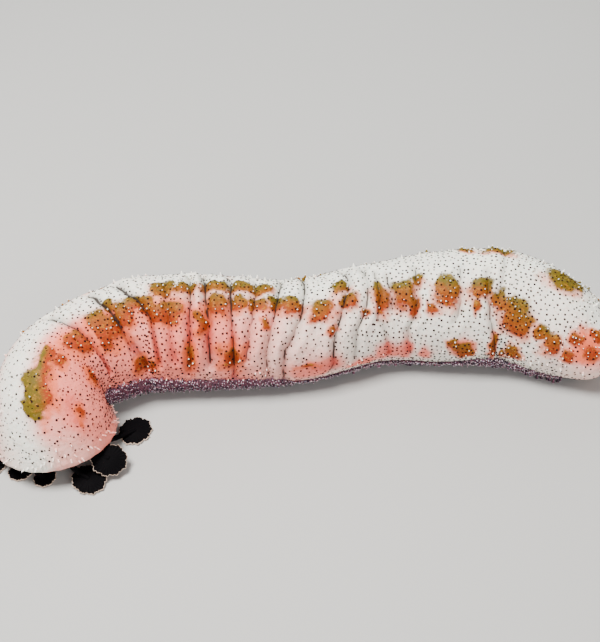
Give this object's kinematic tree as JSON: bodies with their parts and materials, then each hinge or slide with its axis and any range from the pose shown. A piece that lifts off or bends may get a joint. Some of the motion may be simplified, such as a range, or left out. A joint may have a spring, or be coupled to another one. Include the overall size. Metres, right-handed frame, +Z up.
{
  "type": "sea cucumber",
  "caption": "Life-size sea cucumber resting on its flat sole, head turned down to feed, with leaf-like tentacles spread round the mouth.",
  "frame": {"origin": "on the floor under the middle of the animal's whole box", "axes": "+X along the body towards the tail, +Y to the far side of the pictured view, +Z up"},
  "size_m": [0.3708, 0.154, 0.071],
  "materials": {
    "skin": "soft wet skin, pink and white with ochre blotches and dark dots",
    "tentacle": "soft black flesh with pale frilled edges",
    "lip": "dark purple-brown soft flesh"
  },
  "bodies": {
    "root": {"tail": "skin", "trunk_rear": "skin", "trunk_middle": "skin", "trunk_front": "skin", "neck": "skin", "head": "skin", "oral_disc": "lip", "mouth_ring": "lip", "vent_ring": "lip", "tentacle_01": "tentacle", "tentacle_02": "tentacle", "tentacle_03": "tentacle", "tentacle_04": "tentacle", "tentacle_05": "tentacle", "tentacle_06": "tentacle", "tentacle_07": "tentacle", "tentacle_08": "tentacle", "tentacle_09": "tentacle", "tentacle_10": "tentacle", "tentacle_11": "tentacle", "tentacle_12": "tentacle", "tentacle_13": "tentacle", "tentacle_14": "tentacle", "tentacle_15": "tentacle", "tentacle_16": "tentacle", "tentacle_17": "tentacle", "tentacle_18": "tentacle", "tentacle_19": "tentacle", "tentacle_20": "tentacle", "tentacle_21": "tentacle", "tentacle_22": "tentacle", "tentacle_23": "tentacle", "tentacle_24": "tentacle"}
  },
  "joints": []
}
